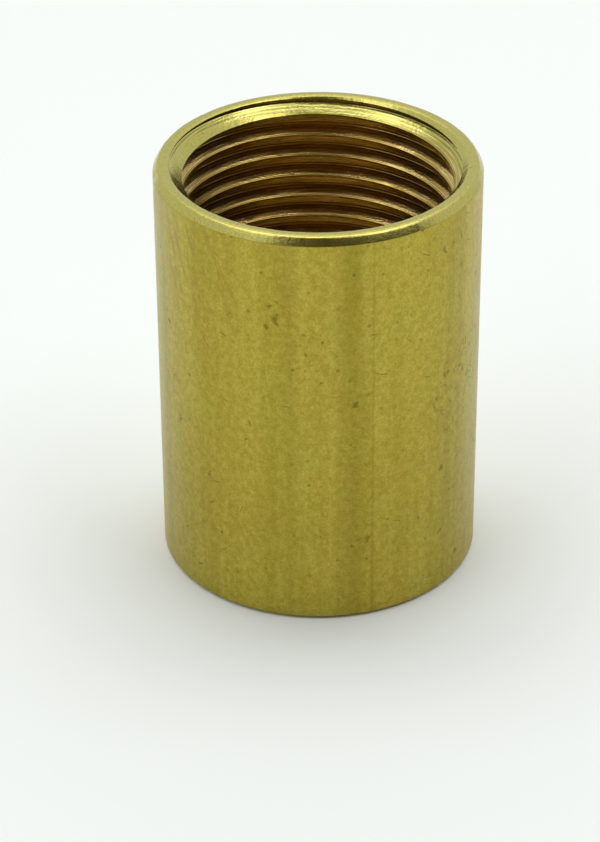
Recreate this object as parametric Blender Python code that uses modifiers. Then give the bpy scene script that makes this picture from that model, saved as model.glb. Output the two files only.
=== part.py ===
"""Straight pipe coupling: one length of round brass bar, bored through and
tapped from end to end with a right-hand parallel pipe thread.

Metres, +Z up. The origin is the centre of the lower end face, and the bore
runs along +Z. The two ends are alike apart from the chamfers on their outer
edges.
"""

import math

import bmesh
import bpy

# Driving dimensions of the sleeve
INCH = 0.0254
OUTER_DIAMETER = 1.0 * INCH
LENGTH = 0.0340
UPPER_CHAMFER_HEIGHT = 0.00055  # on the outer edge, a steep one
UPPER_CHAMFER_WIDTH = 0.00030
LOWER_CHAMFER = 0.00020  # at 45 degrees

# Thread: Whitworth form, 14 turns to the inch, nominal size 5/8
THREADS_PER_INCH = 14
MAJOR_DIAMETER = 0.022911
MINOR_DIAMETER = 0.02092
FLANK_ANGLE = math.radians(27.5)
GROOVE_HEIGHT_AT_X = 0.00044  # where the groove's middle first crosses the +X side
ROOT_FLAT_SHARE = 0.2  # of a pitch, the flat at the bottom of the groove

# Countersinks that lead the thread in at both ends, at 45 degrees
MOUTH_DIAMETER = 0.0230

# How finely the round shapes are divided
TURN_STEPS = 48
SEAM_GAP = 0.000001  # the most by which one turn's end misses the next one's start
PILOT_ALLOWANCE = 0.0005  # left inside the thread by the bore, for the tap to cut
TAP_OVERRUN = 0.0010  # the least that the tap stands out of each end face
SHARP_ANGLE = math.radians(24)

# Brass, drawn and turned, with a dull satin surface
BRASS_COLOR = (0.56, 0.46, 0.17, 1.0)
BRASS_ROUGHNESS = 0.34

# Values that follow from the dimensions above
OUTER_RADIUS = OUTER_DIAMETER / 2
MOUTH_RADIUS = MOUTH_DIAMETER / 2
MAJOR_RADIUS = MAJOR_DIAMETER / 2
MINOR_RADIUS = MINOR_DIAMETER / 2
PILOT_RADIUS = MINOR_RADIUS - PILOT_ALLOWANCE
PILOT_DEPTH = MOUTH_RADIUS - PILOT_RADIUS
PITCH = INCH / THREADS_PER_INCH
ROOT_FLAT = PITCH * ROOT_FLAT_SHARE
FLANK = (MAJOR_RADIUS - MINOR_RADIUS) * math.tan(FLANK_ANGLE)
CREST_FLAT = PITCH - ROOT_FLAT - 2 * FLANK


def clear_scene():
    for obj in list(bpy.data.objects):
        bpy.data.objects.remove(obj, do_unlink=True)


def new_collection(name):
    collection = bpy.data.collections.new(name)
    bpy.context.scene.collection.children.link(collection)
    return collection


def brass_material():
    material = bpy.data.materials.new("brass")
    material.use_nodes = True
    shader = material.node_tree.nodes["Principled BSDF"]
    shader.inputs["Base Color"].default_value = BRASS_COLOR
    shader.inputs["Metallic"].default_value = 1.0
    shader.inputs["Roughness"].default_value = BRASS_ROUGHNESS
    material.diffuse_color = BRASS_COLOR
    return material


def blank_profile():
    """Half section of the bored and countersunk blank, down its outside and back up."""
    return [
        (OUTER_RADIUS - UPPER_CHAMFER_WIDTH, LENGTH),
        (OUTER_RADIUS, LENGTH - UPPER_CHAMFER_HEIGHT),
        (OUTER_RADIUS, LOWER_CHAMFER),
        (OUTER_RADIUS - LOWER_CHAMFER, 0),
        (MOUTH_RADIUS, 0),
        (PILOT_RADIUS, PILOT_DEPTH),
        (PILOT_RADIUS, LENGTH - PILOT_DEPTH),
        (MOUTH_RADIUS, LENGTH),
    ]


def make_blank(collection):
    """The sleeve before tapping, its half section turned about Z."""
    points = blank_profile()
    count = len(points)
    mesh = bpy.data.meshes.new("threaded_sleeve")
    vertices = [(across, 0, up) for across, up in points]
    edges = [(index, (index + 1) % count) for index in range(count)]
    mesh.from_pydata(vertices, edges, [])
    blank = bpy.data.objects.new("threaded_sleeve", mesh)
    collection.objects.link(blank)
    turn = blank.modifiers.new("Turn", "SCREW")
    turn.axis = "Z"
    turn.steps = TURN_STEPS
    turn.render_steps = TURN_STEPS
    turn.merge_threshold = SEAM_GAP
    return blank


def thread_outline():
    """One pitch of the thread's section, upwards from the foot of a crest's flat."""
    return [
        (MINOR_RADIUS, 0),
        (MINOR_RADIUS, CREST_FLAT),
        (MAJOR_RADIUS, CREST_FLAT + FLANK),
        (MAJOR_RADIUS, CREST_FLAT + FLANK + ROOT_FLAT),
        (MINOR_RADIUS, PITCH),
    ]


def thread_start():
    """Height of a crest's foot on the +X side, more than a turn below the lower face."""
    foot_to_groove = CREST_FLAT + FLANK + ROOT_FLAT / 2
    first_foot = GROOVE_HEIGHT_AT_X - foot_to_groove
    turns_below = math.ceil((first_foot + PITCH + TAP_OVERRUN) / PITCH)
    return first_foot - PITCH * turns_below


def close_end(bm, edges):
    """Closes an open end of the tap with triangles that meet on the axis."""
    heights = [vert.co.z for edge in edges for vert in edge.verts]
    centre = bm.verts.new((0, 0, sum(heights) / len(heights)))
    for edge in edges:
        bm.faces.new((edge.verts[0], edge.verts[1], centre))


def make_tap(collection):
    """The space inside the finished thread as a solid, longer than the sleeve."""
    start = thread_start()
    turns = math.ceil((LENGTH + TAP_OVERRUN - start) / PITCH)
    bm = bmesh.new()
    points = [bm.verts.new((across, 0, start + up)) for across, up in thread_outline()]
    outline = [bm.edges.new(pair) for pair in zip(points, points[1:])]
    bmesh.ops.spin(
        bm,
        geom=points + outline,
        axis=(0, 0, 1),
        dvec=(0, 0, PITCH / TURN_STEPS),
        angle=2 * math.pi * turns,
        steps=TURN_STEPS * turns,
    )
    bmesh.ops.remove_doubles(bm, verts=bm.verts, dist=SEAM_GAP)
    ends = [edge for edge in bm.edges if edge.is_boundary]
    close_end(bm, [edge for edge in ends if edge.verts[0].co.z < LENGTH / 2])
    close_end(bm, [edge for edge in ends if edge.verts[0].co.z > LENGTH / 2])
    bmesh.ops.recalc_face_normals(bm, faces=bm.faces)
    mesh = bpy.data.meshes.new("tap")
    bm.to_mesh(mesh)
    bm.free()
    tap = bpy.data.objects.new("tap", mesh)
    collection.objects.link(tap)
    tap.hide_render = True
    tap.display_type = "WIRE"
    return tap


def cut_thread(sleeve, tap):
    cut = sleeve.modifiers.new("Tap", "BOOLEAN")
    cut.operation = "DIFFERENCE"
    cut.solver = "EXACT"
    cut.object = tap


def apply_modifiers(obj):
    """Makes the shape that the modifiers give the object's own mesh."""
    graph = bpy.context.evaluated_depsgraph_get()
    mesh = bpy.data.meshes.new_from_object(obj.evaluated_get(graph))
    mesh.name = obj.name
    obj.modifiers.clear()
    obj.data = mesh


def shade_round(obj):
    obj.data.shade_smooth()
    obj.data.set_sharp_from_angle(angle=SHARP_ANGLE)


def main():
    clear_scene()
    parts = new_collection("pipe_coupling")
    cutters = new_collection("cutters")
    sleeve = make_blank(parts)
    cut_thread(sleeve, make_tap(cutters))
    apply_modifiers(sleeve)
    shade_round(sleeve)
    sleeve.data.materials.append(brass_material())


main()
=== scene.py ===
"""Looks of the pipe coupling: one bare brass sleeve, threaded right through, on
a pale studio floor. Metres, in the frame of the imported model."""

import math

import bmesh
import bpy
import numpy as np
from mathutils import Matrix, Vector, noise

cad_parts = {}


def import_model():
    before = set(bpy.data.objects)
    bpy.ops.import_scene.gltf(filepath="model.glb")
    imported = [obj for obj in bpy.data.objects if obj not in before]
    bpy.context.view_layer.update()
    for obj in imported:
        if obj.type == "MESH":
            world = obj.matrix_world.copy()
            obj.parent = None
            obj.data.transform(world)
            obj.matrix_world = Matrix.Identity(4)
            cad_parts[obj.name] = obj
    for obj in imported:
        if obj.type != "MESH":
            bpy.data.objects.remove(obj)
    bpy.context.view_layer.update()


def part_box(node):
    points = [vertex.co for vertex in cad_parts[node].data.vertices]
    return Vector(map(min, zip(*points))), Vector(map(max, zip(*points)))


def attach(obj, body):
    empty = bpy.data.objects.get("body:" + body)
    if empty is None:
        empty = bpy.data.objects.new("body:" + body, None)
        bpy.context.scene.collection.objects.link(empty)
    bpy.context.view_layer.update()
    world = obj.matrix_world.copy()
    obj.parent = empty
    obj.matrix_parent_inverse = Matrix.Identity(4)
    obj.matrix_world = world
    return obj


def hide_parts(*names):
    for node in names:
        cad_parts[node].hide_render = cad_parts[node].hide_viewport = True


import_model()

NODE = "threaded_sleeve"
BODY = "root"

# Sizes of the sleeve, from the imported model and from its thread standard
MM = 0.001
INCH = 0.0254
node_low, node_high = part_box(NODE)
LENGTH = node_high[2] - node_low[2]
OUTER_RADIUS = (node_high[0] - node_low[0]) / 2
PITCH = INCH / 14
MAJOR_RADIUS = 22.911 * MM / 2
MINOR_RADIUS = 20.92 * MM / 2
PILOT_RADIUS = MINOR_RADIUS - 0.5 * MM  # of the bore before tapping
FLANK_ANGLE = math.radians(27.5)
ROOT_FLAT = PITCH * 0.2
CORNER_ROUND = 0.05 * MM  # where the thread's flats meet its flanks
GROOVE_HEIGHT_AT_X = 0.44 * MM  # where the groove's middle first crosses the +X side
MOUTH_RADIUS = 23.0 * MM / 2
# Height and width of the worn outer edges, and how far each end face rises to its crown
UPPER_CHAMFER = (0.68 * MM, 0.36 * MM)
LOWER_CHAMFER = (0.26 * MM, 0.22 * MM)
CROWN_HEIGHT = 0.10 * MM
CROWN_ROUND = 1.40 * MM
MOUTH_ROUND = 0.08 * MM

# How finely the surface is divided
RING_STEPS = 480
WALL_ROW = 0.80 * MM
ROUND_STEPS = 5
TURN_STEPS = 150
CORNER_STEPS = 3
SHARP_ANGLE = math.radians(32)
SLIVER = 0.001 * MM  # vertices this close are one
TURNS_TO_SPARE = 4  # of the tap, about half of them below the sleeve

# Unevenness of the surfaces: amount, then the grain across and along the bore, in mm
WALL_WAVES = ((0.0014, 1.1, 30.0), (0.0022, 6.0, 6.0))
EDGE_WAVES = ((0.016, 1.6, 1.6), (0.022, 0.40, 0.40))
THREAD_WAVES = ((0.004, 0.7, 0.9), (0.012, 3.0, 1.2))

# Dents of the outside: angle in degrees, then height, width, tallness and depth in mm
DENTS = (
    (-172, 33.2, 0.5, 0.6, 0.13),
    (-128, 8.6, 1.0, 0.6, 0.018),
    (-96, 4.4, 0.9, 0.7, 0.020),
    (-48, 21.5, 1.3, 2.2, 0.012),
    (-36, 17.5, 1.0, 1.8, 0.016),
    (-70, 5.2, 1.1, 0.6, 0.014),
    (20, 12.0, 1.2, 0.8, 0.020),
    (70, 25.0, 0.9, 1.4, 0.020),
    (118, 9.0, 1.0, 0.7, 0.018),
    (152, 20.0, 1.4, 0.8, 0.016),
)

# Slot numbers of the three finishes on the one sleeve
DRAWN, TURNED, CUT = range(3)

# Colours of the brass, and the power by which its blue follows a lighter or darker tint
TURNED_BRASS = (0.53, 0.465, 0.130, 1)
RUBBED_BRASS = (0.54, 0.46, 0.12, 1)
CUT_BRASS = (0.78, 0.56, 0.21, 1)
CUT_SHADE = (0.62, 0.42, 0.11, 1)
OLIVE_BRASS = (0.398, 0.326, 0.046, 1)
GREEN_BRASS = (0.382, 0.330, 0.050, 1)
OCHRE_BRASS = (0.415, 0.325, 0.046, 1)
BROWN_STAIN = (0.30, 0.21, 0.045, 1)
DARK_SPECK = (0.155, 0.115, 0.012, 1)
BLUE_FOLLOWS = 2.0

# Dark bands that the drawing die left along the outside: angle in degrees, half width
# in mm and the share of the brightness that is left
DRAWING_BANDS = (
    (-79, 1.5, 0.89),
    (-71, 0.16, 0.88),
    (-100, 0.9, 0.95),
    (-38, 0.7, 0.94),
    (15, 1.2, 0.92),
    (64, 0.2, 0.90),
    (110, 1.6, 0.92),
    (-160, 0.8, 0.94),
)
STAIN_SLANT = math.radians(-24)

# The world's colours, and its strength
STUDIO_COLOR = (0.94, 1.0, 0.97, 1)
DIM_COLOR = (0.12, 0.104, 0.072, 1)
WORLD_STRENGTH = 0.82
# Its dim parts: a wide one low down, to the camera's right, and a small one high up
DIM_AZIMUTH = math.radians(22)
DIM_ELEVATION = math.radians(60)
FLOOR_COLOR = (0.93, 0.935, 0.93, 1)

# Lamps: how far aside, ahead and above the sleeve's upper end, size and radiance
LAMPS = {
    "left_window": (-0.29, 0.19, 0.34, (0.20, 0.20), 0.5),
    "right_window": (0.29, 0.19, 0.34, (0.20, 0.20), 0.6),
    "left_ceiling": (-0.20, 0.10, 0.42, (0.18, 0.20), 1.1),
    "right_ceiling": (0.21, 0.10, 0.42, (0.20, 0.20), 1.6),
    "rear_ceiling": (0.0, -0.12, 0.42, (0.50, 0.18), 2.3),
    "back_window": (0.0, -0.31, 0.335, (0.36, 0.09), 0.75),
}

CAMERA_ELEVATION = math.radians(30.46)
CAMERA_DISTANCE = 237.7 * MM
CAMERA_ROLL = math.radians(-0.15)
CAMERA_LENS = 127.67
SENSOR = 36.0
# Where the sleeve's middle lies from the middle of the frame, as tangents
MIDDLE_RIGHT = 0.00622
MIDDLE_ABOVE = 0.02322


# ---------------------------------------------------------------- shapes


def rounded_outline(corners, radii):
    """Closed outline through these corners, each turned into an arc of its radius."""
    points = []
    for index, radius in enumerate(radii):
        corner = Vector(corners[index])
        if radius == 0:
            points.append(corner)
            continue
        before = (Vector(corners[index - 1]) - corner).normalized()
        after = (Vector(corners[(index + 1) % len(corners)]) - corner).normalized()
        half = before.angle(after) / 2
        centre = corner + (before + after).normalized() * radius / math.sin(half)
        start = corner + before * radius / math.tan(half) - centre
        end = corner + after * radius / math.tan(half) - centre
        sweep = start.angle(end)
        for step in range(ROUND_STEPS + 1):
            turned = sweep * step / ROUND_STEPS
            arm = start * math.sin(sweep - turned) + end * math.sin(turned)
            points.append(centre + arm / math.sin(sweep))
    return points


def divided(points, longest):
    """The same closed outline, with no two points further apart than longest."""
    found = []
    for index, point in enumerate(points):
        following = points[(index + 1) % len(points)]
        parts = math.ceil((following - point).length / longest)
        found += [point.lerp(following, part / parts) for part in range(parts)]
    return found


def blank_outline():
    """Half section of the sleeve before tapping, with its worn edges."""
    upper_height, upper_width = UPPER_CHAMFER
    lower_height, lower_width = LOWER_CHAMFER
    upper_edge = OUTER_RADIUS - upper_width
    lower_edge = OUTER_RADIUS - lower_width
    bore_depth = CROWN_HEIGHT + MOUTH_RADIUS - PILOT_RADIUS
    # Radius and height of each corner, then the radius it is rounded by
    rows = (
        (upper_edge, LENGTH - CROWN_HEIGHT, 0.30 * MM),
        (OUTER_RADIUS, LENGTH - upper_height, 0.16 * MM),
        (OUTER_RADIUS, lower_height, 0.12 * MM),
        (lower_edge, CROWN_HEIGHT, 0.16 * MM),
        ((lower_edge + MOUTH_RADIUS) / 2, 0, CROWN_ROUND),
        (MOUTH_RADIUS, CROWN_HEIGHT, MOUTH_ROUND),
        (PILOT_RADIUS, bore_depth, 0),
        (PILOT_RADIUS, LENGTH - bore_depth, 0),
        (MOUTH_RADIUS, LENGTH - CROWN_HEIGHT, MOUTH_ROUND),
        ((upper_edge + MOUTH_RADIUS) / 2, LENGTH, CROWN_ROUND),
    )
    corners = [(radius, height) for radius, height, _ in rows]
    return divided(rounded_outline(corners, [row[2] for row in rows]), WALL_ROW)


def turned_mesh(outline):
    """A closed outline in (radius, height), turned about Z."""
    rows = len(outline)
    radius, height = np.array(outline).T
    angle = np.arange(RING_STEPS) * 2 * math.pi / RING_STEPS
    x = np.outer(np.cos(angle), radius)
    y = np.outer(np.sin(angle), radius)
    z = np.broadcast_to(height, x.shape)
    points = np.stack([x, y, z], axis=-1).reshape(-1, 3)
    ring, row = np.indices(x.shape)
    far_ring = (ring + 1) % RING_STEPS
    far_row = (row + 1) % rows
    corners = [(ring, row), (ring, far_row), (far_ring, far_row), (far_ring, row)]
    faces = np.stack([a * rows + b for a, b in corners], axis=-1).reshape(-1, 4)
    mesh = bpy.data.meshes.new("blank")
    mesh.from_pydata(points.tolist(), [], faces.tolist())
    return mesh


def thread_profile():
    """One pitch of the thread's section, upwards from the middle of a crest's flat."""
    turn = math.pi / 2 - FLANK_ANGLE
    setback = CORNER_ROUND * math.tan(turn / 2)
    root_corner = (PITCH - ROOT_FLAT) / 2
    crest_corner = root_corner - (MAJOR_RADIUS - MINOR_RADIUS) * math.tan(FLANK_ANGLE)
    crest, root = [], []
    for step in range(CORNER_STEPS + 1):
        angle = turn * step / CORNER_STEPS
        inset = CORNER_ROUND * (1 - math.cos(angle))
        rise = CORNER_ROUND * math.sin(angle)
        crest.append((MINOR_RADIUS + inset, crest_corner - setback + rise))
        root.append((MAJOR_RADIUS - inset, root_corner + setback - rise))
    half = crest + root[::-1]
    above = [(radius, PITCH - height) for radius, height in reversed(half)]
    return [(MINOR_RADIUS, 0)] + half + above + [(MINOR_RADIUS, PITCH)]


def tap_mesh():
    """The space inside the thread as a closed coil, longer than the sleeve."""
    profile = np.array(thread_profile())
    rows = len(profile) - 1
    turns = math.ceil(LENGTH / PITCH) + TURNS_TO_SPARE
    last = rows * turns
    level = np.arange(last + 1)
    angle = np.arange(TURN_STEPS) * 2 * math.pi / TURN_STEPS
    radius = profile[level % rows, 0]
    turns_below = TURNS_TO_SPARE / 2 + 0.5  # the half takes a crest's middle to a groove's
    height = profile[level % rows, 1] + PITCH * (level // rows - turns_below) + GROOVE_HEIGHT_AT_X
    x = np.outer(np.cos(angle), radius)
    y = np.outer(np.sin(angle), radius)
    z = height + PITCH * angle[:, None] / (2 * math.pi)
    points = np.stack([x, y, z], axis=-1).reshape(-1, 3).tolist()

    def at(column, row):
        """Number of a point of the coil. Column TURN_STEPS is column 0, one turn on."""
        wrapped = column == TURN_STEPS
        return (0 if wrapped else column) * (last + 1) + row + (rows if wrapped else 0)

    faces = []
    for column in range(TURN_STEPS):
        top = last - rows if column == TURN_STEPS - 1 else last
        for row in range(top):
            near = (at(column, row), at(column, row + 1))
            far = (at(column + 1, row), at(column + 1, row + 1))
            faces.append((near[0], far[0], far[1], near[1]))
    # Each open end runs round a turn of the coil and along one pitch of its section, and
    # is closed towards the axis
    lower = [at(column, 0) for column in range(TURN_STEPS)]
    lower += [at(0, row) for row in range(rows, 0, -1)]
    upper = [at(column, last) for column in range(TURN_STEPS)]
    upper += [at(TURN_STEPS - 1, last - row) for row in range(1, rows + 1)]
    for loop, turned in ((lower, True), (upper, False)):
        middle = len(points)
        points.append((0, 0, sum(points[number][2] for number in loop) / len(loop)))
        for first, second in zip(loop, loop[1:] + loop[:1]):
            faces.append((second, first, middle) if turned else (first, second, middle))
    mesh = bpy.data.meshes.new("tap")
    mesh.from_pydata(points, [], faces)
    return mesh


def moved(mesh, rule):
    """Moves each vertex outwards from the axis by what the rule gives for its place."""
    for vertex in mesh.vertices:
        point = vertex.co
        radius = math.hypot(point.x, point.y)
        if radius == 0:
            continue
        share = 1 + rule(point, radius) / radius
        vertex.co = (point.x * share, point.y * share, point.z)


def waves(point, table):
    """The sum of a table's rows of noise at this point, in millimetres."""
    total = 0
    for amount, across, along in table:
        place = (point.x / across, point.y / across, point.z / along)
        total += amount * noise.noise(Vector(place) / MM)
    return total


def wall_wear(point, radius):
    """Drawing lines, slight waves and dents of the outside, and the ragged rims."""
    on_wall = radius > OUTER_RADIUS - 0.05 * MM
    outward = MM * waves(point, WALL_WAVES if on_wall else EDGE_WAVES)
    if radius > OUTER_RADIUS - 2 * UPPER_CHAMFER[1]:
        angle = math.atan2(point.y, point.x)
        for degrees, height, width, tallness, depth in DENTS:
            turn = (angle - math.radians(degrees) + math.pi) % (2 * math.pi) - math.pi
            across = turn * OUTER_RADIUS / (width * MM)
            along = (point.z - height * MM) / (tallness * MM)
            outward -= depth * MM * math.exp(-2 * (across**2 + along**2))
    return outward


def thread_wear(point, radius):
    """Chatter and small tears left by the tap, most of them on the crests."""
    crest_share = (MAJOR_RADIUS - radius) / (MAJOR_RADIUS - MINOR_RADIUS)
    return MM * waves(point, THREAD_WAVES) * (0.3 + 0.7 * crest_share)


def without_slivers(mesh):
    """The mesh with the vertices merged that the tap's cut left nearly on each other,
    and without those that only sit in the middle of an edge."""
    bm = bmesh.new()
    bm.from_mesh(mesh)
    bmesh.ops.remove_doubles(bm, verts=bm.verts, dist=SLIVER)
    spare = [vertex for vertex in bm.verts if len(vertex.link_edges) == 2]
    bmesh.ops.dissolve_verts(bm, verts=spare)
    bm.to_mesh(mesh)
    bm.free()
    return mesh


def sleeve():
    """The whole sleeve as one closed mesh: the worn blank less the worn tap."""
    blank = bpy.data.objects.new("sleeve", turned_mesh(blank_outline()))
    tap = bpy.data.objects.new("tap", tap_mesh())
    for obj, rule in ((blank, wall_wear), (tap, thread_wear)):
        moved(obj.data, rule)
        obj.data.shade_smooth()
        bpy.context.scene.collection.objects.link(obj)
    drawn = drawn_brass()
    turned = turned_brass()
    cut = cut_brass()
    for obj in (blank, tap):
        for material in (drawn, turned, cut):
            obj.data.materials.append(material)
    for face in blank.data.polygons:
        on_wall = math.hypot(face.center.x, face.center.y) > OUTER_RADIUS - 0.02 * MM
        face.material_index = DRAWN if on_wall else TURNED
    for face in tap.data.polygons:
        face.material_index = CUT
    boolean = blank.modifiers.new("Tap", "BOOLEAN")
    boolean.operation = "DIFFERENCE"
    boolean.solver = "MANIFOLD"
    boolean.object = tap
    graph = bpy.context.evaluated_depsgraph_get()
    mesh = without_slivers(bpy.data.meshes.new_from_object(blank.evaluated_get(graph)))
    blank.modifiers.clear()
    blank.data = mesh
    bpy.data.objects.remove(tap)
    mesh.shade_smooth()
    mesh.set_sharp_from_angle(angle=SHARP_ANGLE)
    return blank


# ---------------------------------------------------------------- finishes


class Finish:
    """A Principled metal and its node tree, with places and sizes in millimetres."""

    def __init__(self, name):
        self.material = bpy.data.materials.new(name)
        self.material.use_nodes = True
        self.tree = self.material.node_tree
        self.surface = self.tree.nodes["Principled BSDF"]
        self.surface.inputs["Metallic"].default_value = 1.0
        place = self.tree.nodes.new("ShaderNodeTexCoord").outputs["Object"]
        self.place = self.vector("MULTIPLY", place, (1 / MM,) * 3)

    def put(self, socket, value):
        if isinstance(value, bpy.types.NodeSocket):
            self.tree.links.new(value, socket)
        else:
            socket.default_value = value

    def vector(self, operation, first, second):
        node = self.tree.nodes.new("ShaderNodeVectorMath")
        node.operation = operation
        self.put(node.inputs[0], first)
        self.put(node.inputs[1], second)
        return node.outputs["Value" if operation in ("LENGTH", "DISTANCE") else "Vector"]

    def math(self, operation, *values):
        node = self.tree.nodes.new("ShaderNodeMath")
        node.operation = operation
        for socket, value in zip(node.inputs, values):
            self.put(socket, value)
        return node.outputs[0]

    def split(self, vector):
        """The x, y and z of a vector."""
        node = self.tree.nodes.new("ShaderNodeSeparateXYZ")
        self.put(node.inputs[0], vector)
        return node.outputs

    def unrolled(self):
        """The place on the outside laid flat: length of arc, height and nothing."""
        x, y, z = self.split(self.place)
        node = self.tree.nodes.new("ShaderNodeCombineXYZ")
        angle = self.math("ARCTAN2", y, x)
        self.put(node.inputs[0], self.math("MULTIPLY", angle, OUTER_RADIUS / MM))
        self.put(node.inputs[1], z)
        return node.outputs[0]

    def noise(self, size, detail=2.0, roughness=0.5, shift=0.0, place=None):
        """Noise whose grains measure size, which is in millimetres along x, y and z."""
        node = self.tree.nodes.new("ShaderNodeTexNoise")
        scaled = self.vector("MULTIPLY", place or self.place, tuple(1 / side for side in size))
        self.put(node.inputs["Vector"], self.vector("ADD", scaled, (shift,) * 3))
        node.inputs["Scale"].default_value = 1.0
        node.inputs["Detail"].default_value = detail
        node.inputs["Roughness"].default_value = roughness
        return node.outputs["Fac"]

    def hairs(self, size, width, shift):
        """Thin curved lines: where a noise of this grain passes its middle value."""
        pattern = self.noise((size, size, size), 0.0, shift=shift)
        off_middle = self.math("ABSOLUTE", self.math("SUBTRACT", pattern, 0.5))
        return self.spread(off_middle, 0.0, width, 1.0, 0.0)

    def stripes(self, value, count):
        """Noise along one value alone, with this many waves to each unit of it."""
        node = self.tree.nodes.new("ShaderNodeTexNoise")
        node.noise_dimensions = "1D"
        node.inputs["Scale"].default_value = count
        self.put(node.inputs["W"], value)
        return node.outputs["Fac"]

    def specks(self, place, spacing, share, largest):
        """Scattered blots of uneven outline and strength, on a place laid flat in x and y.
        Of the cells, spacing apart, this share holds one, up to largest across."""
        jitter = self.tree.nodes.new("ShaderNodeTexNoise")
        self.put(jitter.inputs["Vector"], self.place)
        jitter.inputs["Scale"].default_value = 2 / largest
        bent = self.vector("SUBTRACT", jitter.outputs["Color"], (0.5,) * 3)
        bent = self.vector("MULTIPLY", bent, (0.9 * largest,) * 3)
        node = self.tree.nodes.new("ShaderNodeTexVoronoi")
        node.voronoi_dimensions = "2D"
        node.inputs["Scale"].default_value = 1 / spacing
        self.put(node.inputs["Vector"], self.vector("ADD", place, bent))
        chance, strength, _ = self.split(node.outputs["Color"])
        widest = 0.5 * largest / spacing
        radius = self.spread(chance, 1 - share, 1.0, 0.2 * widest, widest)
        radius = self.math("MULTIPLY", radius, self.math("GREATER_THAN", chance, 1 - share))
        inside = self.math("DIVIDE", node.outputs["Distance"], self.math("ADD", radius, 0.001))
        return self.math("MULTIPLY", self.spread(inside, 0.5, 1.1, 1.0, 0.0), strength)

    def near(self, degrees, height, reach):
        """1 at this angle and height on the outside, falling to 0 at reach from it."""
        angle = math.radians(degrees)
        radius = OUTER_RADIUS / MM
        spot = (radius * math.cos(angle), radius * math.sin(angle), height)
        away = self.vector("DISTANCE", self.place, spot)
        return self.spread(away, 0.35 * reach, reach, 1.0, 0.0)

    def spread(self, value, low, high, to_low=0.0, to_high=1.0):
        """The value carried from low..high to to_low..to_high, smoothly and clamped."""
        node = self.tree.nodes.new("ShaderNodeMapRange")
        node.interpolation_type = "SMOOTHSTEP"
        for name, number in (
            ("Value", value),
            ("From Min", low),
            ("From Max", high),
            ("To Min", to_low),
            ("To Max", to_high),
        ):
            self.put(node.inputs[name], number)
        return node.outputs["Result"]

    def mix(self, share, first, second, kind="MIX"):
        """Two colours mixed by share."""
        node = self.tree.nodes.new("ShaderNodeMix")
        node.data_type = "RGBA"
        node.blend_type = kind
        for name, value in (("Factor_Float", share), ("A_Color", first), ("B_Color", second)):
            socket = next(item for item in node.inputs if item.identifier == name)
            self.put(socket, value)
        return next(item for item in node.outputs if item.identifier == "Result_Color")

    def shade(self, color, pattern, low, high):
        """The colour times low where the pattern is 0.3 and times high where it is 0.7,
        and its blue, which brass has little of, more so."""
        dark, light = ((share, share, share**BLUE_FOLLOWS, 1) for share in (low, high))
        tint = self.mix(self.spread(pattern, 0.3, 0.7), dark, light)
        return self.mix(1.0, color, tint, "MULTIPLY")

    def bump(self, height, depth, normal=None):
        """Relief of this height, in millimetres at a value of 1."""
        node = self.tree.nodes.new("ShaderNodeBump")
        node.inputs["Strength"].default_value = 1.0
        node.inputs["Distance"].default_value = depth * MM
        self.put(node.inputs["Height"], height)
        if normal is not None:
            self.put(node.inputs["Normal"], normal)
        return node.outputs["Normal"]

    def finish(self, color, roughness, normal):
        self.put(self.surface.inputs["Base Color"], color)
        self.put(self.surface.inputs["Roughness"], roughness)
        self.put(self.surface.inputs["Normal"], normal)
        return self.material


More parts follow.
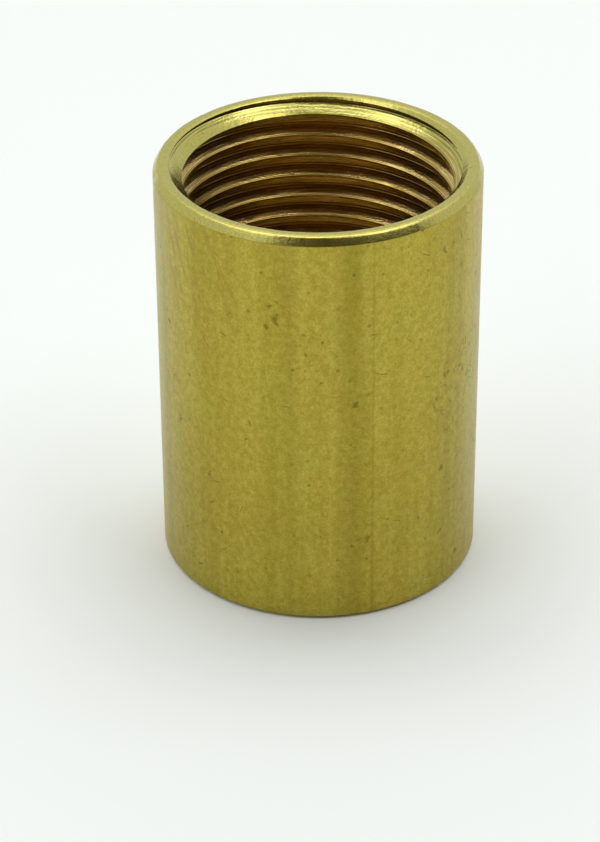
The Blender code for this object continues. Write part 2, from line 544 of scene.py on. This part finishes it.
def drawn_brass():
    """The outside: drawn bar, dulled by handling, with specks, hairlines and stains."""
    it = Finish("brass_drawn")
    flat = it.unrolled()
    clouds = it.noise((5.0, 5.0, 7.0), 4.0, 0.6)
    greens = it.noise((3.2, 3.2, 5.5), 3.0, shift=7.0)
    blotches = it.noise((0.50, 0.50, 0.60), 3.0, 0.60, shift=3.0)
    streaks = it.noise((0.50, 0.50, 24.0), 2.0)
    bands = it.noise((2.4, 2.4, 60.0), 1.0, shift=11.0)
    grain = it.noise((0.16, 0.16, 0.18), 2.0, 0.7)
    peppered = it.noise((0.30, 0.30, 0.26), 1.0, shift=5.0)

    color = it.mix(it.spread(clouds, 0.35, 0.65), OLIVE_BRASS, OCHRE_BRASS)
    color = it.mix(it.spread(greens, 0.56, 0.72, 0.0, 0.45), color, GREEN_BRASS)
    color = it.shade(color, blotches, 0.90, 1.10)
    color = it.shade(color, streaks, 0.97, 1.03)
    color = it.shade(color, bands, 0.94, 1.06)
    color = it.shade(color, grain, 0.885, 1.115)
    arc = it.split(flat)[0]
    for degrees, half_width, share in DRAWING_BANDS:
        middle = math.radians(degrees) * OUTER_RADIUS / MM
        off = it.math("ABSOLUTE", it.math("SUBTRACT", arc, middle))
        darker = it.spread(off, 0.3 * half_width, half_width, share, 1.0)
        color = it.mix(1.0, color, darker, "MULTIPLY")
    # A little lighter upwards, and brighter near the foot: painted light there, against the shade
    # the floor puts on the foot
    height = it.split(it.place)[2]
    color = it.mix(1.0, color, it.spread(height, 0.0, LENGTH / MM, 0.93, 1.04), "MULTIPLY")
    color = it.mix(1.0, color, it.spread(height, 0.0, 9.0, 1.14, 1.0), "MULTIPLY")

    # Stains that the bar got in storage: slanting runs on one side, and etched patches
    slant = it.tree.nodes.new("ShaderNodeVectorRotate")
    slant.rotation_type = "Z_AXIS"
    slant.inputs["Angle"].default_value = STAIN_SLANT
    it.put(slant.inputs["Vector"], flat)
    runs = it.noise((0.50, 5.0, 1.0), 2.0, place=slant.outputs[0])
    stained = it.math("MULTIPLY", it.spread(runs, 0.46, 0.68), it.near(-141, 29.5, 6.5))
    color = it.mix(it.math("MULTIPLY", stained, 0.55), color, BROWN_STAIN)
    etched = it.math("MAXIMUM", it.near(-31, 18.0, 5.5), it.near(95, 11.0, 5.0))
    etched = it.math("MAXIMUM", etched, it.math("MULTIPLY", it.near(-8, 12.0, 4.0), 0.7))
    eaten = it.spread(it.noise((0.7, 0.7, 0.9), 1.0, shift=14.0), 0.42, 0.54)
    pitted = it.math("MULTIPLY", it.hairs(1.2, 0.085, 5.0), it.spread(peppered, 0.42, 0.58))
    etching = it.math("MULTIPLY", pitted, it.math("MULTIPLY", etched, eaten))

    thin_spots = it.spread(peppered, 0.66, 0.78)
    small = it.specks(flat, 1.15, 0.40, 0.36)
    large = it.specks(flat, 3.4, 0.40, 0.56)
    sparse = it.spread(it.noise((0.9, 0.9, 0.9), 0.0, shift=9.0), 0.66, 0.72)
    scratches = it.math("MULTIPLY", it.hairs(2.6, 0.014, 2.0), sparse)
    marks = it.math("MAXIMUM", it.math("MULTIPLY", small, 0.72), large)
    marks = it.math("MAXIMUM", marks, it.math("MULTIPLY", scratches, 0.8))
    marks = it.math("MAXIMUM", marks, it.math("MULTIPLY", etching, 0.85))
    marks = it.math("MAXIMUM", marks, it.math("MULTIPLY", thin_spots, 0.30))
    color = it.mix(it.math("MULTIPLY", marks, 0.78), color, DARK_SPECK)

    roughness = it.spread(clouds, 0.3, 0.7, 0.33, 0.40)
    roughness = it.math("ADD", roughness, it.math("MULTIPLY", marks, 0.12))
    normal = it.bump(streaks, 0.006)
    normal = it.bump(blotches, 0.010, normal)
    normal = it.bump(marks, -0.015, normal)
    return it.finish(color, roughness, normal)


def turned_brass():
    """The end faces, chamfers and countersinks: turned, and ringed by the tool."""
    it = Finish("brass_turned")
    x, y, _ = it.split(it.place)
    radius = it.math("SQRT", it.math("ADD", it.math("MULTIPLY", x, x), it.math("MULTIPLY", y, y)))
    rings = it.stripes(radius, 12.0)
    patches = it.noise((1.6, 1.6, 1.6), 3.0, 0.55, shift=21.0)
    tears = it.noise((0.26, 0.26, 0.20), 3.0, 0.6)
    grain = it.noise((0.16, 0.16, 0.16), 3.0, 0.7)
    dots = it.specks(it.place, 0.9, 0.35, 0.24)
    color = it.mix(it.spread(patches, 0.38, 0.66), TURNED_BRASS, RUBBED_BRASS)
    color = it.shade(color, grain, 0.90, 1.10)
    color = it.mix(it.math("MULTIPLY", dots, 0.45), color, DARK_SPECK)
    roughness = it.spread(patches, 0.3, 0.7, 0.17, 0.25)
    normal = it.bump(rings, 0.003)
    normal = it.bump(tears, 0.020, normal)
    return it.finish(color, roughness, normal)


def cut_brass():
    """The thread: fresh metal left by the tap, lined along the cut, and at both mouths
    paler and torn."""
    it = Finish("brass_cut")
    patches = it.noise((2.4, 2.4, 0.6), 3.0)
    lines = it.noise((3.0, 3.0, 0.080), 2.0)
    x, y, z = it.split(it.place)
    # The same lines in each turn, by the share of a pitch above the groove's middle
    turn = it.math("DIVIDE", it.math("ARCTAN2", y, x), 2 * math.pi)
    climb = it.math("DIVIDE", it.math("SUBTRACT", z, GROOVE_HEIGHT_AT_X / MM), PITCH / MM)
    tap_lines = it.stripes(it.math("FRACT", it.math("SUBTRACT", climb, turn)), 13.0)
    half_length = LENGTH / MM / 2
    from_middle = it.math("ABSOLUTE", it.math("SUBTRACT", z, half_length))
    at_mouth = it.spread(from_middle, half_length - 1.7, half_length - 1.1)
    inside = it.math("SUBTRACT", 1.0, at_mouth)
    chatter = it.noise((0.15, 0.15, 0.9), 1.0, shift=6.0)
    torn_part = it.spread(it.noise((3.5, 3.5, 2.2), 1.0, shift=8.0), 0.46, 0.58)
    tears = it.noise((0.30, 0.30, 0.20), 3.0, 0.6)
    color = it.mix(it.spread(patches, 0.35, 0.7), CUT_BRASS, CUT_SHADE)
    color = it.mix(at_mouth, color, TURNED_BRASS)
    color = it.shade(color, lines, 0.80, 1.10)
    color = it.shade(color, tap_lines, 0.52, 1.28)
    roughness = it.spread(patches, 0.3, 0.7, 0.16, 0.26)
    normal = it.bump(lines, 0.008)
    normal = it.bump(it.math("MULTIPLY", tap_lines, inside), 0.012, normal)
    normal = it.bump(it.math("MULTIPLY", chatter, torn_part), 0.018, normal)
    normal = it.bump(it.math("MULTIPLY", tears, at_mouth), 0.022, normal)
    return it.finish(color, roughness, normal)


# ---------------------------------------------------------------- studio


def floor():
    mesh = bpy.data.meshes.new("floor")
    half = 1.5
    corners = [(-half, -half, 0), (half, -half, 0), (half, half, 0), (-half, half, 0)]
    mesh.from_pydata(corners, [], [(0, 1, 2, 3)])
    plane = bpy.data.objects.new("floor", mesh)
    bpy.context.scene.collection.objects.link(plane)
    plane.location.z = node_low[2] - 0.02 * MM
    material = bpy.data.materials.new("floor")
    material.use_nodes = True
    surface = material.node_tree.nodes["Principled BSDF"]
    surface.inputs["Base Color"].default_value = FLOOR_COLOR
    surface.inputs["Roughness"].default_value = 0.9
    surface.inputs["Specular IOR Level"].default_value = 0.1
    mesh.materials.append(material)


def area_light(name, aside, ahead, above, size, radiance):
    """A rectangular lamp at this place from the sleeve's upper end, and aimed at it."""
    aim = Vector((0, 0, LENGTH))
    place = aim + Vector((aside, -ahead, above))
    lamp = bpy.data.lights.new(name, "AREA")
    lamp.shape = "RECTANGLE"
    lamp.size, lamp.size_y = size
    lamp.energy = radiance * math.pi * size[0] * size[1]
    holder = bpy.data.objects.new(name, lamp)
    bpy.context.scene.collection.objects.link(holder)
    holder.location = place
    holder.rotation_euler = (aim - place).to_track_quat("-Z", "Y").to_euler()


def world():
    """An even pale studio, dim where the person at the camera stands and leans over.
    The camera itself sees it all pale."""
    back = bpy.data.worlds.new("studio")
    back.use_nodes = True
    tree = back.node_tree
    background = tree.nodes["Background"]
    background.inputs["Strength"].default_value = WORLD_STRENGTH
    place = tree.nodes.new("ShaderNodeTexCoord").outputs["Generated"]

    def share(direction, low, high):
        """0 to 1 as the ray's share along this direction goes from low to high."""
        along = tree.nodes.new("ShaderNodeVectorMath")
        along.operation = "DOT_PRODUCT"
        along.inputs[1].default_value = direction
        tree.links.new(place, along.inputs[0])
        ramp = tree.nodes.new("ShaderNodeMapRange")
        ramp.interpolation_type = "SMOOTHSTEP"
        ramp.inputs["From Min"].default_value = low
        ramp.inputs["From Max"].default_value = high
        tree.links.new(along.outputs["Value"], ramp.inputs["Value"])
        return ramp.outputs["Result"]

    def joined(operation, first, second):
        node = tree.nodes.new("ShaderNodeMath")
        node.operation = operation
        tree.links.new(first, node.inputs[0])
        tree.links.new(second, node.inputs[1])
        return node.outputs[0]

    towards = (math.sin(DIM_AZIMUTH), -math.cos(DIM_AZIMUTH), 0)
    dim = joined("MULTIPLY", share(towards, 0.48, 0.58), share((0, 0, -1), -0.82, -0.70))
    overhead = (0, -math.cos(DIM_ELEVATION), math.sin(DIM_ELEVATION))
    dim = joined("MAXIMUM", dim, share(overhead, 0.92, 0.965))
    seen = tree.nodes.new("ShaderNodeLightPath").outputs["Is Camera Ray"]
    unseen = tree.nodes.new("ShaderNodeMath")
    unseen.operation = "SUBTRACT"
    unseen.inputs[0].default_value = 1.0
    tree.links.new(seen, unseen.inputs[1])
    mixed = tree.nodes.new("ShaderNodeMix")
    mixed.data_type = "RGBA"
    sockets = {socket.identifier: socket for socket in mixed.inputs}
    sockets["A_Color"].default_value = STUDIO_COLOR
    sockets["B_Color"].default_value = DIM_COLOR
    tree.links.new(joined("MULTIPLY", dim, unseen.outputs[0]), sockets["Factor_Float"])
    found = next(item for item in mixed.outputs if item.identifier == "Result_Color")
    tree.links.new(found, background.inputs["Color"])
    bpy.context.scene.world = back


def camera():
    data = bpy.data.cameras.new("camera")
    data.lens = CAMERA_LENS
    data.sensor_width = SENSOR
    data.clip_start = 10 * MM
    holder = bpy.data.objects.new("camera", data)
    bpy.context.scene.collection.objects.link(holder)
    back = Vector((0, -math.cos(CAMERA_ELEVATION), math.sin(CAMERA_ELEVATION)))
    right = Vector((1, 0, 0))
    facing = Matrix((right, back.cross(right), back)).transposed()
    middle = Vector((MIDDLE_RIGHT, MIDDLE_ABOVE, -1))
    aside = middle.rotation_difference(Vector((0, 0, -1))).to_matrix()
    turn = facing @ Matrix.Rotation(CAMERA_ROLL, 3, "Z") @ aside
    place = Vector((0, 0, LENGTH / 2)) + back * CAMERA_DISTANCE
    holder.matrix_world = Matrix.Translation(place) @ turn.to_4x4()
    bpy.context.scene.camera = holder


def main():
    body = sleeve()
    body.name = "brass_sleeve"
    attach(body, BODY)
    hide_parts(NODE)
    floor()
    world()
    for name, (aside, ahead, above, size, radiance) in LAMPS.items():
        area_light(name, aside, ahead, above, size, radiance)
    camera()
    bpy.context.scene.view_settings.view_transform = "Standard"


main()
